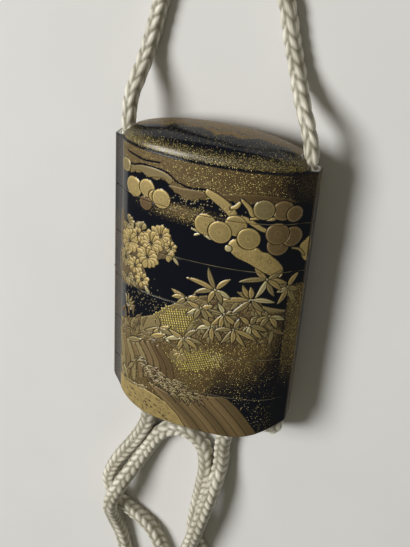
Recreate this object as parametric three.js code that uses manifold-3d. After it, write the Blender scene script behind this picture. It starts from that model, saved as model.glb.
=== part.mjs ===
// A five-case inro: a flattened oval box of lacquered wood in six tiers (a domed lid and five
// stacked cases), with one braided cord that runs down the channel in its left edge, makes two
// loops under the base and comes back up the channel in its right edge to a knot.
// Millimetres. The tiers are modelled standing, height along +Z and front towards -Y, and are then
// laid on their back: +X is the width, +Y the height of the inro and +Z its front.
import * as THREE from "three";
import { mergeVertices } from "three/addons/utils/BufferGeometryUtils.js";
import Module from "manifold-3d";

const wasm = await Module();
wasm.setup();

// Plan of the body: a superellipse that ends in a narrow ear on each side
const width = 54;
const lensHalfLength = 25.26;
const lensHalfDepth = 10.46;
const lensPower = 2.2;
const lensSteps = 36;
const creaseX = 23.25; // where the lens meets the ear in a shallow crease
const earHalfDepth = 2.12; // half the flat outer face of an ear
const earHollow = 0.22; // how far an ear's flank is drawn in
const earCorner = 0.4;
const earSteps = 5;
const restingFlat = 0.25; // the back is flattened by this much, so that the inro doesn't rock

// Tiers, from the lid down
const caseCount = 5;
const tierHeight = 13.72;
const seam = 0.3; // left open between two tiers
const domeHeight = 6;
const shoulder = 0.35; // ledge around the foot of the dome
const domeRings = 7;
const skin = 1.1; // outer wall beside the riser that it slides over
const riserGap = 0.3;
const riserWall = 0.8;
const riserHeight = 5;
const floorWall = 1.5;
const ceilingWall = 1.3;
const socketHalfLength = 20.9; // the socket stops this far out, short of the cord's channel

// Base: it rises towards the ears and is slightly domed
const baseRiseFrom = 11.5;
const baseRise = 5.53;
const baseBulge = 1.3;
const baseCorner = 1.2;
const baseRings = 4;
const baseFloor = 3.4;
const overshoot = 1; // how far a cutter runs past what it cuts

// Cord, its channels and its knot
const channelX = 24;
const channelRadius = 2.2;
const channelSides = 20;
const cordRadius = 1.75;
const cordSides = 8;
const cordSteps = 80;
const knotRadius = 8.2;
const knotHalfHeight = 4;
const knotCentre = [-3.5, 106, 4.1];
const knotSteps = 12;
const knotSides = 24;

const lacquer = { color: 0x15161a, roughness: 0.28, metalness: 0 };
const goldLacquer = { color: 0x6e5a30, roughness: 0.35, metalness: 0.6 };
const silk = { color: 0xb9b49c, roughness: 0.7, metalness: 0 };

const wallHeight = (caseCount + 1) * tierHeight;
const halfHeight = (wallHeight + domeHeight + baseBulge) / 2;

// The cord's centreline on the laid-down inro, from the knot round to the knot
const cordRoute = [
  [-6.3, 97.5, 3.4], [-14.0, 85.0, 2.2], [-18.4, 75.0, 2.2], [-20.7, 66.0, 2.2],
  [-22.3, 59.0, 2.8], [-23.3, 53.5, 5.6], [-23.9, 48.5, 9.0], [-24, 43.5, 10.2],
  [-24, 36, 10.2], [-24, -35, 10.2], [-24, -41.0, 10.2],
  [-23.8, -44.2, 9.2], [-22.3, -46.8, 7.2], [-20.4, -50.0, 5.4], [-19.0, -54.6, 3.6],
  [-19.0, -60.0, 2.5], [-20.6, -65.2, 2.4],
  [-23.6, -71.4, 2.4], [-30.0, -83.0, 2.4], [-32.6, -91.6, 2.4], [-30.0, -99.2, 2.4],
  [-24.2, -103.6, 2.4], [-16.6, -109.4, 2.4], [-12.3, -117.6, 2.4],
  [-8.4, -127.2, 2.4], [-7.0, -136.0, 2.4], [-11.4, -143.2, 2.4], [-19.4, -144.6, 2.4],
  [-25.0, -138.6, 2.4], [-25.6, -128.2, 2.4], [-28.0, -116.8, 2.4],
  [-30.4, -107.4, 4.2], [-30.3, -99.2, 7.2], [-27.4, -90.4, 7.2], [-22.8, -80.8, 4.4],
  [-18.2, -71.6, 2.5], [-14.8, -65.4, 2.4], [-10.2, -61.8, 2.4], [-4.6, -61.6, 2.4],
  [-0.2, -65.2, 2.4], [1.5, -72.4, 2.4], [0.9, -82.0, 2.4], [-0.4, -94.0, 2.4],
  [-0.6, -105.0, 2.4], [3.2, -114.2, 2.4], [10.8, -120.4, 2.4], [15.8, -127.8, 2.4],
  [14.8, -136.4, 2.4], [7.4, -141.0, 2.4], [-0.2, -136.4, 2.4], [-2.6, -126.0, 2.8],
  [-2.1, -113.8, 6.4], [0.2, -103.2, 7.2], [3.0, -91.4, 7.2], [5.5, -79.4, 5.4],
  [6.6, -69.6, 2.7], [6.5, -62.0, 2.4], [7.5, -56.4, 2.5], [10.4, -52.0, 3.0],
  [14.4, -49.0, 3.8], [18.4, -46.9, 5.1], [21.8, -45.8, 6.9], [23.8, -43.6, 9.1],
  [24, -41.0, 10.2], [24, -35, 10.2],
  [24, 36, 10.2], [24, 43, 10.2], [22.4, 47.6, 9.2], [19.5, 52.6, 6.0],
  [16.8, 58.6, 2.9], [14.4, 66.0, 2.2], [12.0, 75.0, 2.2], [7.4, 86.4, 2.2],
  [-0.7, 97.5, 3.4],
].map((point) => new THREE.Vector3(...point));

// A superellipse of half lengths a and b, from startTurn to endTurn counterclockwise
function lensArc(a, b, startTurn, endTurn, steps) {
  const signedPower = (value) => Math.sign(value) * Math.abs(value) ** (2 / lensPower);
  return Array.from({ length: steps + 1 }, (_, i) => {
    const turn = startTurn + ((endTurn - startTurn) * i) / steps;
    return new THREE.Vector2(a * signedPower(Math.cos(turn)), b * signedPower(Math.sin(turn)));
  });
}

// The whole lens drawn in by inset, its ends cut off square at endX
function lensOutline(inset, endX = lensHalfLength) {
  const loop = lensArc(lensHalfLength - inset, lensHalfDepth - inset, 0, 2 * Math.PI, 2 * lensSteps);
  loop.pop();
  loop.forEach((point) => (point.x = THREE.MathUtils.clamp(point.x, -endX, endX)));
  return loop;
}

// One flank of the right ear, from the crease out to its flat face
function earFlank(creaseY) {
  const tip = width / 2;
  const drawnIn = new THREE.Vector2((creaseX + tip) / 2 - earHollow, (creaseY + earHalfDepth) / 2 - earHollow);
  const curve = new THREE.QuadraticBezierCurve(
    new THREE.Vector2(creaseX, creaseY),
    drawnIn,
    new THREE.Vector2(tip - earCorner, earHalfDepth),
  );
  return [...curve.getPoints(earSteps).slice(1), new THREE.Vector2(tip, earHalfDepth - earCorner)];
}

// The body's outline: back of the lens, left ear, front of the lens, right ear
function bodyOutline() {
  const turn = Math.acos((creaseX / lensHalfLength) ** (lensPower / 2));
  const back = lensArc(lensHalfLength, lensHalfDepth, turn, Math.PI - turn, lensSteps);
  const flank = earFlank(back[0].y);
  const moved = (points, signX, signY) => points.map((p) => new THREE.Vector2(signX * p.x, signY * p.y));
  const outline = [
    ...back,
    ...moved(flank, -1, 1),
    ...moved(flank, -1, -1).reverse(),
    ...moved(back, -1, -1),
    ...moved(flank, 1, -1),
    ...moved(flank, 1, 1).reverse(),
  ];
  outline.forEach((point) => (point.y = Math.min(point.y, lensHalfDepth - restingFlat)));
  return outline;
}

// A closed geometry as a manifold-3d solid
function solidOf(geometry) {
  const bare = geometry.clone();
  bare.deleteAttribute("normal");
  bare.deleteAttribute("uv");
  const merged = mergeVertices(bare, 1e-4);
  return new wasm.Manifold(
    new wasm.Mesh({
      numProp: 3,
      vertProperties: new Float32Array(merged.attributes.position.array),
      triVerts: new Uint32Array(merged.index.array),
    }),
  );
}

function geometryOf(solid) {
  const mesh = solid.getMesh();
  const geometry = new THREE.BufferGeometry();
  geometry.setAttribute("position", new THREE.BufferAttribute(mesh.vertProperties, mesh.numProp));
  geometry.setIndex(new THREE.BufferAttribute(mesh.triVerts, 1));
  return geometry;
}

function prism(outline, bottom, top) {
  const shape = new THREE.Shape(outline);
  const geometry = new THREE.ExtrudeGeometry(shape, { depth: top - bottom, bevelEnabled: false });
  return solidOf(geometry.translate(0, 0, bottom));
}

// A solid from rings of equally many points, each ring above the last, closed by a point at each end
function ringsSolid(lowPole, rings, highPole) {
  const size = rings[0].length;
  const positions = [lowPole, ...rings.flat(), highPole].flatMap((p) => [p.x, p.y, p.z]);
  const top = 1 + rings.length * size;
  const faces = [];
  for (let i = 0; i < size; i++) {
    const next = (i + 1) % size;
    faces.push(0, 1 + next, 1 + i);
    faces.push(top, top - size + i, top - size + next);
    for (let ring = 1; ring < rings.length; ring++) {
      const low = 1 + (ring - 1) * size;
      faces.push(low + i, low + next, low + size + next);
      faces.push(low + i, low + size + next, low + size + i);
    }
  }
  const geometry = new THREE.BufferGeometry();
  geometry.setAttribute("position", new THREE.Float32BufferAttribute(positions, 3));
  geometry.setIndex(faces);
  return solidOf(geometry);
}

// A dome on a lens outline: each ring shrinks by the cosine of its turn and rises by the sine
function dome(outline, bottom, height) {
  const rings = Array.from({ length: domeRings + 1 }, (_, i) => {
    const turn = (Math.PI / 2) * Math.max(0, (i - 1) / domeRings);
    const z = i === 0 ? bottom - overshoot : bottom + height * Math.sin(turn);
    return outline.map((p) => new THREE.Vector3(p.x * Math.cos(turn), p.y * Math.cos(turn), z));
  });
  const foot = new THREE.Vector3(0, 0, bottom - overshoot);
  return ringsSolid(foot, rings, new THREE.Vector3(0, 0, bottom + height));
}

// How far the base's edge stands above its middle: a parabola, and a small round at the ear's foot
function baseEdge(x) {
  const reach = Math.abs(x);
  const slope = Math.max(0, (reach - baseRiseFrom) / (width / 2 - baseRiseFrom));
  const corner = Math.max(0, reach - (width / 2 - baseCorner));
  return baseRise * slope ** 2 + baseCorner - Math.sqrt(baseCorner ** 2 - corner ** 2);
}

// The bottom case from outside: flat on top, curved and slightly domed below
function baseBody(outline, top) {
  const rings = Array.from({ length: baseRings }, (_, i) => {
    const share = (i + 1) / baseRings;
    return outline.map((p) => {
      const [x, y] = [p.x * share, p.y * share];
      return new THREE.Vector3(x, y, baseEdge(x) - baseBulge * (1 - share ** 2));
    });
  });
  rings.push(outline.map((p) => new THREE.Vector3(p.x, p.y, top)));
  return ringsSolid(new THREE.Vector3(0, 0, -baseBulge), rings, new THREE.Vector3(0, 0, top));
}

// Both cord channels, as long as the whole body
function channels() {
  const bore = new THREE.CylinderGeometry(channelRadius, channelRadius, 3 * wallHeight, channelSides);
  bore.rotateX(Math.PI / 2);
  return solidOf(bore.clone().translate(channelX, 0, 0)).add(solidOf(bore.translate(-channelX, 0, 0)));
}

const outline = bodyOutline();
const socket = lensOutline(skin, socketHalfLength);
const riser = lensOutline(skin + riserGap, socketHalfLength - riserGap);
const inside = lensOutline(skin + riserGap + riserWall, socketHalfLength - riserGap - riserWall);
const cordChannels = channels();

function lidSolid() {
  const bottom = wallHeight - tierHeight + seam / 2;
  const ceiling = wallHeight - ceilingWall;
  const shell = prism(outline, bottom, wallHeight).add(dome(lensOutline(shoulder), wallHeight, domeHeight));
  const hollow = prism(socket, bottom - overshoot, ceiling).add(dome(socket, ceiling, domeHeight - ceilingWall / 2));
  return shell.subtract(hollow).subtract(cordChannels);
}

// A case with its riser on top and, unless it is the lowest, a socket for the next riser below
function caseSolid(place) {
  const lowest = place === caseCount;
  const bottom = wallHeight - (place + 1) * tierHeight + seam / 2;
  const top = wallHeight - place * tierHeight - seam / 2;
  const floor = lowest ? baseFloor : bottom + riserHeight + seam + floorWall;
  const body = lowest ? baseBody(outline, top) : prism(outline, bottom, top);
  const hollowed = body
    .add(prism(riser, top - overshoot, top + riserHeight))
    .subtract(prism(inside, floor, top + riserHeight + overshoot))
    .subtract(cordChannels);
  if (lowest) return hollowed;
  return hollowed.subtract(prism(socket, bottom - overshoot, floor - floorWall));
}

function cordGeometry() {
  const section = new THREE.Shape(
    Array.from({ length: cordSides }, (_, i) => {
      const turn = (2 * Math.PI * i) / cordSides;
      return new THREE.Vector2(cordRadius * Math.cos(turn), cordRadius * Math.sin(turn));
    }),
  );
  const extrudePath = new THREE.CatmullRomCurve3(cordRoute);
  extrudePath.arcLengthDivisions = 20 * cordRoute.length;
  return new THREE.ExtrudeGeometry(section, { steps: cordSteps, bevelEnabled: false, extrudePath });
}

// The knot's outer shape: a thick disc with a round edge, lying flat
function knotGeometry() {
  const profile = Array.from({ length: knotSteps + 1 }, (_, i) => {
    const turn = Math.PI * (i / knotSteps - 0.5);
    const across = i % knotSteps === 0 ? 0 : Math.sqrt(Math.cos(turn));
    return new THREE.Vector2(knotRadius * across, knotHalfHeight * Math.sin(turn));
  });
  return new THREE.LatheGeometry(profile, knotSides).rotateX(Math.PI / 2).translate(...knotCentre);
}

function named(name, geometry, finish) {
  const mesh = new THREE.Mesh(geometry, new THREE.MeshStandardMaterial(finish));
  mesh.name = name;
  return mesh;
}

const tiers = new THREE.Group();
tiers.add(named("lid", geometryOf(lidSolid()), goldLacquer));
for (let place = 1; place <= caseCount; place++) {
  tiers.add(named(`case_${place}`, geometryOf(caseSolid(place)), lacquer));
}
tiers.rotation.x = -Math.PI / 2;
tiers.position.set(0, baseBulge - halfHeight, lensHalfDepth - restingFlat);

const inro = new THREE.Group();
inro.add(tiers, named("cord", cordGeometry(), silk), named("cord_knot", knotGeometry(), silk));

export default inro;
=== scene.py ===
import bmesh
import bpy
import numpy as np
from mathutils import Euler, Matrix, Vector


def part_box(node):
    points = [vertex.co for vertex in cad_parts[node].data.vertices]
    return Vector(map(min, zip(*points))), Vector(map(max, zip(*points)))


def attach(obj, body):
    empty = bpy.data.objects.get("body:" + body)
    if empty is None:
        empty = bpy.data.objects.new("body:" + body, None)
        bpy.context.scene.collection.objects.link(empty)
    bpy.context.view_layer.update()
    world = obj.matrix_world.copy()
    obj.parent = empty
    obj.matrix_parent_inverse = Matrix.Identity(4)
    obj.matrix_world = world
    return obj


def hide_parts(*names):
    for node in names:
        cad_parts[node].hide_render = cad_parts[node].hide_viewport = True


mm = 0.001
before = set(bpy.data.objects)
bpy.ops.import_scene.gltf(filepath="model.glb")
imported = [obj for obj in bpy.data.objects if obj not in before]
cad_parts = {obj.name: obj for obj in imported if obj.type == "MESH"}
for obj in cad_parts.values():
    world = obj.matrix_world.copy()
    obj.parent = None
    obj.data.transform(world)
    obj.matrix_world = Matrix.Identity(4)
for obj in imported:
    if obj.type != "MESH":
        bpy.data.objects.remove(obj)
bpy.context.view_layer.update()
rng = np.random.default_rng(11)


# Helpers shared by the pieces

def linear(hexColour, alpha=1.0):
    # sRGB hex to linear: each channel is a power curve with a short straight foot
    channels = np.array([int(hexColour[i:i + 2], 16) / 255 for i in (0, 2, 4)])
    curve = np.where(channels <= 0.04045, channels / 12.92, ((channels + 0.055) / 1.055) ** 2.4)
    return (*curve.tolist(), alpha)


def addNode(tree, kind, inputs=None, **settings):
    # An input is a value, a socket, or a node that stands for its first output in use
    node = tree.nodes.new("ShaderNode" + kind)
    for name, value in settings.items():
        setattr(node, name, value)
    for socket, value in (inputs or {}).items():
        if isinstance(value, bpy.types.Node):
            value = next(output for output in value.outputs if output.enabled)
        if isinstance(value, bpy.types.NodeSocket):
            tree.links.new(value, node.inputs[socket])
        else:
            node.inputs[socket].default_value = value
    return node


def newMaterial(name):
    material = bpy.data.materials.new(name)
    material.use_nodes = True
    material.node_tree.nodes.clear()
    return material


def newObject(name, points, faces, material, attributes=None):
    # points in millimetres; faces as lists of corner numbers
    mesh = bpy.data.meshes.new(name)
    mesh.from_pydata((points * mm).tolist(), [], faces)
    for label, (kind, values) in (attributes or {}).items():
        layer = mesh.attributes.new(label, kind, "POINT")
        slot = {"FLOAT": "value", "FLOAT_COLOR": "color", "FLOAT_VECTOR": "vector"}[kind]
        layer.data.foreach_set(slot, np.ascontiguousarray(values, np.float32).ravel())
    mesh.materials.append(material)
    mesh.shade_smooth()
    obj = bpy.data.objects.new(name, mesh)
    bpy.context.scene.collection.objects.link(obj)
    return obj


def tubeFaces(rings, size):
    # Quads between rings of equally many points, then a fan to a pole at each end.
    # The poles are the two points after the rings
    low = np.arange(rings - 1)[:, None] * size
    here = np.arange(size)[None, :]
    after = (here + 1) % size
    quads = np.stack([low + here, low + after, low + size + after, low + size + here], -1)
    first = np.arange(size)
    second = (first + 1) % size
    last = (rings - 1) * size
    lowPole = rings * size
    lowFan = np.stack([np.full(size, lowPole), second, first], -1)
    highFan = np.stack([np.full(size, lowPole + 1), last + first, last + second], -1)
    return quads.reshape(-1, 4).tolist() + lowFan.tolist() + highFan.tolist()


def smoothPath(points, steps):
    # Centripetal Catmull-Rom: each span is a cubic whose end tangents weigh their neighbours by
    # the square root of the distance to them
    points = np.asarray(points, float)
    padded = np.vstack([2 * points[0] - points[1], points, 2 * points[-1] - points[-2]])
    share = np.linspace(0, 1, steps, endpoint=False)[:, None]
    gap = np.sqrt(np.linalg.norm(np.diff(padded, axis=0), axis=1))[:, None]
    move = np.diff(padded, axis=0)
    p1, p2 = padded[1:-2], padded[2:-1]
    d0, d1, d2 = gap[:-2], gap[1:-1], gap[2:]
    m0, m1, m2 = move[:-2], move[1:-1], move[2:]
    t1 = (m0 / d0 - (m0 + m1) / (d0 + d1) + m1 / d1) * d1
    t2 = (m1 / d1 - (m1 + m2) / (d1 + d2) + m2 / d2) * d1
    p1, p2, t1, t2 = (part[:, None, :] for part in (p1, p2, t1, t2))
    curve = (p1 + t1 * share + (3 * (p2 - p1) - 2 * t1 - t2) * share**2
             + (2 * (p1 - p2) + t1 + t2) * share**3)
    return np.vstack([curve.reshape(-1, 3), points[-1:]])


def evenPath(path, count):
    length = np.concatenate([[0], np.cumsum(np.linalg.norm(np.diff(path, axis=0), axis=1))])
    at = np.linspace(0, length[-1], count)
    return np.stack([np.interp(at, length, path[:, axis]) for axis in range(3)], -1), length[-1]


def smoothStep(value, low, high):
    share = np.clip((value - low) / (high - low), 0, 1)
    return share * share * (3 - 2 * share)


# Camera

view = {
    "place": (60.817, 119.335, 199.238),
    "turnDegrees": (-29.271, 20.040, 3.661),
    "lens": 55.73,
    "filmLongSide": 36,
    "nearest": 10,       # what is nearer than this or farther than the next is left out
    "farthest": 10000,
}


def makeCamera():
    data = bpy.data.cameras.new("camera")
    data.lens = view["lens"]
    data.sensor_fit = "AUTO"
    data.sensor_width = view["filmLongSide"]
    data.clip_start = view["nearest"] * mm
    data.clip_end = view["farthest"] * mm
    camera = bpy.data.objects.new("camera", data)
    camera.location = [value * mm for value in view["place"]]
    camera.rotation_euler = Euler([np.radians(value) for value in view["turnDegrees"]])
    bpy.context.scene.collection.objects.link(camera)
    bpy.context.scene.camera = camera


makeCamera()
print("camera done")


# Cord: a round braid of silk strands. Seen from any side it shows leaf-shaped stitches
# in columns that lean left and right by turns, so that each pair of columns makes a row of Vs

cordLook = {
    # the light colour is the stitch crests with painted sheen, the dark one painted shade in the gaps and
    # dirt
    "light": "e6e1d0",
    "shadeAndDirt": "8b8570",
    "stitchAbove": 4.0,  # length of one stitch along the cord, where it is drawn tight
    "stitchInLoops": 2.9,
    "columns": 6,
    "lean": 0.62,        # how much of a stitch's length it leans by across its column
    "bulge": 0.58,
    "squareness": 2.5,   # power of the superellipse that the section is
    "radiusInLoops": 2.68,
    "radiusAbove": 2.25,
    "radiusInChannel": 1.95,
    "rings": 2200,
    "sides": 40,
    "diameter": 4.0,
    "length": 726.5,
}

cordRoute = [
    (-6.3, 97.5, 3.4), (-14.0, 85.0, 2.2), (-18.4, 75.0, 2.2), (-20.7, 66.0, 2.2),
    (-22.3, 59.0, 2.8), (-23.3, 53.5, 5.6), (-23.9, 48.5, 9.0), (-24, 43.5, 10.2),
    (-24, 36, 10.2), (-24, -35, 10.2), (-24, -41.0, 10.2),
    (-23.8, -44.2, 9.2), (-22.3, -46.8, 7.2), (-20.4, -50.0, 5.4), (-19.0, -54.6, 3.6),
    (-19.0, -60.0, 2.5), (-20.6, -65.2, 2.4),
    (-23.6, -71.4, 2.4), (-30.0, -83.0, 2.4), (-32.6, -91.6, 2.4), (-30.0, -99.2, 2.4),
    (-24.2, -103.6, 2.4), (-16.6, -109.4, 2.4), (-12.3, -117.6, 2.4),
    (-8.4, -127.2, 2.4), (-7.0, -136.0, 2.4), (-11.4, -143.2, 2.4), (-19.4, -144.6, 2.4),
    (-25.0, -138.6, 2.4), (-25.6, -128.2, 2.4), (-28.0, -116.8, 2.4),
    (-30.4, -107.4, 4.2), (-30.3, -99.2, 7.2), (-27.4, -90.4, 7.2), (-22.8, -80.8, 4.4),
    (-18.2, -71.6, 2.5), (-14.8, -65.4, 2.4), (-10.2, -61.8, 2.4), (-4.6, -61.6, 2.4),
    (-0.2, -65.2, 2.4), (1.5, -72.4, 2.4), (0.9, -82.0, 2.4), (-0.4, -94.0, 2.4),
    (-0.6, -105.0, 2.4), (3.2, -114.2, 2.4), (10.8, -120.4, 2.4), (15.8, -127.8, 2.4),
    (14.8, -136.4, 2.4), (7.4, -141.0, 2.4), (-0.2, -136.4, 2.4), (-2.6, -126.0, 2.8),
    (-2.1, -113.8, 6.4), (0.2, -103.2, 7.2), (3.0, -91.4, 7.2), (5.5, -79.4, 5.4),
    (6.6, -69.6, 2.7), (6.5, -62.0, 2.4), (7.5, -56.4, 2.5), (10.4, -52.0, 3.0),
    (14.4, -49.0, 3.8), (18.4, -46.9, 5.1), (21.8, -45.8, 6.9), (23.8, -43.6, 9.1),
    (24, -41.0, 10.2), (24, -35, 10.2),
    (24, 36, 10.2), (24, 43, 10.2), (22.4, 47.6, 9.2), (19.5, 52.6, 6.0),
    (16.8, 58.6, 2.9), (14.4, 66.0, 2.2), (12.0, 75.0, 2.2), (7.4, 86.4, 2.2),
    (-0.7, 97.5, 3.4),
]


def silkMaterial():
    # Braided silk, undyed and a little grey with age: painted sheen on the crests of the stitches and
    # painted brownish shade in the gaps, drawn into the colour from stitch height, and fine filaments along
    # each stitch
    material = newMaterial("silk_braid")
    tree = material.node_tree
    crest = addNode(tree, "Attribute", attribute_name="crest")
    yarn = addNode(tree, "Attribute", attribute_name="yarn")
    place = addNode(tree, "TexCoord")
    filament = addNode(tree, "TexNoise", {
        "Vector": yarn.outputs["Vector"], "Scale": 1.0, "Detail": 2.0, "Roughness": 0.6})
    soil = addNode(tree, "TexNoise", {"Vector": place.outputs["Object"], "Scale": 110.0, "Detail": 3.0})
    shade = addNode(tree, "MapRange", {
        "Value": crest.outputs["Fac"], "From Min": 0.15, "From Max": 0.9})
    threads = addNode(tree, "MapRange", {
        "Value": filament.outputs["Fac"], "From Min": 0.3, "From Max": 0.7, "To Min": -0.35, "To Max": 0.2})
    dirt = addNode(tree, "MapRange", {
        "Value": soil.outputs["Fac"], "From Min": 0.35, "From Max": 0.7, "To Min": 0.1, "To Max": -0.25})
    first = addNode(tree, "Math", {0: shade, 1: threads}, operation="ADD")
    total = addNode(tree, "Math", {0: first, 1: dirt}, operation="ADD", use_clamp=True)
    # painted shade in the gaps between stitches and painted sheen on their crests, with threads and dirt
    colour = addNode(tree, "Mix", {
        "Factor": total, "A": linear(cordLook["shadeAndDirt"]), "B": linear(cordLook["light"])}, data_type="RGBA")
    bump = addNode(tree, "Bump", {"Height": filament.outputs["Fac"], "Strength": 0.5, "Distance": 0.00012})
    shader = addNode(tree, "BsdfPrincipled", {
        "Base Color": colour, "Roughness": 0.4, "Normal": bump, "Sheen Weight": 0.25,
        "Sheen Roughness": 0.4})
    addNode(tree, "OutputMaterial", {"Surface": shader})
    return material


def braid(name, path, radius, stitch, look):
    # A tube whose radius is the cord's less a groove round each stitch. Its section is a
    # superellipse with one face up and the border between two columns along its middle. A
    # stitch's crest is a sine along it and a parabola across it
    rings, sides = look["rings"], look["sides"]
    centre, length = evenPath(path, rings)
    along = np.linspace(0, length, rings)
    tangent = np.gradient(centre, axis=0)
    tangent /= np.linalg.norm(tangent, axis=1)[:, None]
    side = np.cross(tangent, [0.0, 0.0, 1.0])
    side /= np.linalg.norm(side, axis=1)[:, None]
    up = np.cross(side, tangent)
    turn = np.linspace(0, 2 * np.pi, sides, endpoint=False)[None, :]
    sway = 0.035 * np.sin(along / 31) + 0.02 * np.sin(along / 12.7)
    around = (turn / (2 * np.pi) + sway[:, None]) * cordLook["columns"] + 0.5
    around = around % cordLook["columns"]
    column = np.floor(around)
    across = around - column - 0.5
    leaning = np.where(column % 2 == 0, 1.0, -1.0)
    passed = np.cumsum(np.gradient(along) / np.interp(along, stitch[0], stitch[1]))
    passed = passed + 0.12 * np.sin(passed * 0.83) + 0.07 * np.sin(passed * 2.31)
    stitchAt = passed[:, None] + leaning * cordLook["lean"] * across
    stitchAt = stitchAt + 0.5 * (np.floor(column / 2) % 2)
    number = np.floor(stitchAt)
    within = stitchAt - number
    crest = np.sin(np.pi * within**0.8) ** 0.6 * (1 - (1.75 * across) ** 2 * 0.8)
    crest = crest * (0.88 + 0.12 * np.sin(number * 12.9 + column * 78.2))
    power = cordLook["squareness"]
    square = (np.abs(np.cos(turn)) ** power + np.abs(np.sin(turn)) ** power) ** (-1 / power)
    size = np.interp(along, radius[0], radius[1])[:, None] * square - cordLook["bulge"] * (1 - crest)
    spot = centre[:, None, :] + size[..., None] * (
        np.cos(turn)[..., None] * side[:, None, :] + np.sin(turn)[..., None] * up[:, None, :])
    spot[..., 2] = np.maximum(spot[..., 2], 0.02)
    points = np.vstack([spot.reshape(-1, 3), centre[:1], centre[-1:]])
    yarn = np.stack([across * 9 + column * 7, within * 1.2 + number * 5, 0 * across], -1).reshape(-1, 3)
    # the crest also goes to the silk's colour, where it paints shade into the gaps and sheen onto the
    # stitches
    crest = np.append(crest.ravel(), [0, 0])
    faces = tubeFaces(rings, sides)
    tube = newObject(name, points, faces, silk, {
        "crest": ("FLOAT", crest), "yarn": ("FLOAT_VECTOR", np.vstack([yarn, yarn[:2]]))})
    tube.data.flip_normals()  # the section turns against the path, so this makes the faces look out
    return tube, centre


silk = silkMaterial()
cordLine = smoothPath(cordRoute, 24)
loops, above, inside = (cordLook[key] for key in ("radiusInLoops", "radiusAbove", "radiusInChannel"))
cordRadius = ([0, 50, 62, 146, 158, 570, 582, 668, 680, cordLook["length"]],
              [above, above, inside, inside, loops, loops, inside, inside, above, above])
tight, loose = cordLook["stitchAbove"], cordLook["stitchInLoops"]
cordStitch = ([0, 140, 170, 560, 590, cordLook["length"]], [tight, tight, loose, loose, tight, tight])
cord, cordCentre = braid("silk_cord", cordLine, cordRadius, cordStitch, cordLook)
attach(cord, "root")
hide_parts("cord")

knotLook = {
    "centre": (-3.5, 106.0, 4.1),
    "lobe": 2.06,        # the knot's line runs between one and three times this from its centre
    "rise": 1.95,
    "radius": 2.05,
    "open": 0.42,        # how far each way from the lowest lobe the line is left open
    "rings": 260,
    "sides": 32,
}


def knotPath():
    # An overhand knot drawn flat: a trefoil, whose distance from the centre swings three times in
    # two turns while its height swings the other way. It is open at the lobe where the cord enters
    turn = np.linspace(knotLook["open"], 2 * np.pi - knotLook["open"], 60) + np.pi
    x = -(np.sin(turn) + 2 * np.sin(2 * turn))
    y = np.cos(turn) - 2 * np.cos(2 * turn)
    z = -np.sin(3 * turn)
    shape = np.stack([x * knotLook["lobe"], y * knotLook["lobe"], z * knotLook["rise"]], -1)
    shape += np.array(knotLook["centre"])
    ends = np.array([cordRoute[0], cordRoute[-1]])
    if shape[0, 0] > shape[-1, 0]:
        shape = shape[::-1]
    return smoothPath(np.vstack([ends[:1], shape[2:-2:4], ends[1:]]), 12)


knotLine = knotPath()
knot, _ = braid("overhand_knot", knotLine, ([0], [knotLook["radius"]]), ([0], [tight]), knotLook)
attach(knot, "root")
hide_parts("cord_knot")
print("cord and knot done")


# Tiers: outline of the body and of the hollows, the same for all six

body = {
    "halfWidth": 27.0,
    "lensHalfLength": 25.26,
    "lensHalfDepth": 10.46,
    "lensPower": 2.2,
    "creaseX": 23.25,
    "creaseDepth": 4.63,  # half depth of the lens there, where an ear begins
    "earHalfDepth": 2.12,
    "earHollow": 0.22,
    "earCorner": 0.4,
    "restingFlat": 0.25,
    "softening": 0.16,    # how far corners of the outline are rounded
    "seam": 0.3,
    "edgeRound": 0.13,
    "jointGap": 0.08,     # what is seen of a seam: the tiers' edges stand this close
    "shoulder": 0.35,
    "domeHeight": 6.0,
    "socketInset": 1.1,
    "socketHalfLength": 20.9,
    "riserInset": 1.4,
    "riserHalfLength": 20.6,
    "insideInset": 2.2,
    "insideHalfLength": 19.8,
    "riserHeight": 5.0,
    "floorWall": 1.5,
    "ceilingWall": 1.3,
    "baseRiseFrom": 11.5,
    "baseRise": 5.53,
    "baseCorner": 1.2,
    "baseBulge": 1.3,
    "baseFloor": 3.4,
    "channelX": 24.0,
    "channelRadius": 2.2,
    "channelSides": 56,
    "channelReach": 60.0,  # how far each way the cutter for the channels runs
    "sharpDegrees": 38,   # edges that turn by more than this are shaded as corners
    "lip": 0.2,           # bevel along the rim of a riser
    "baseRings": 20,
    "hollowTurns": (75, 50, 25),
    "domeRows": 34,
}
tierNames = ["lid", "case_1", "case_2", "case_3", "case_4", "case_5"]
tierBoxes = {name: [np.array(corner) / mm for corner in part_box(name)] for name in tierNames}
middleZ = tierBoxes["lid"][1][2] - body["lensHalfDepth"]
shoulderY = tierBoxes["lid"][1][1] - body["domeHeight"]
tierHeight = tierBoxes["case_1"][0][1] - tierBoxes["case_2"][0][1]
baseMiddleY = tierBoxes["case_5"][0][1] + body["baseBulge"]


def superellipse(halfLength, halfDepth, turn):
    # x and d are the cosine and sine raised to 2 / power, keeping their signs
    power = 2 / body["lensPower"]
    c, s = np.cos(turn), np.sin(turn)
    x = halfLength * np.sign(c) * np.abs(c) ** power
    return np.stack([x, halfDepth * np.sign(s) * np.abs(s) ** power], -1)


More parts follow.
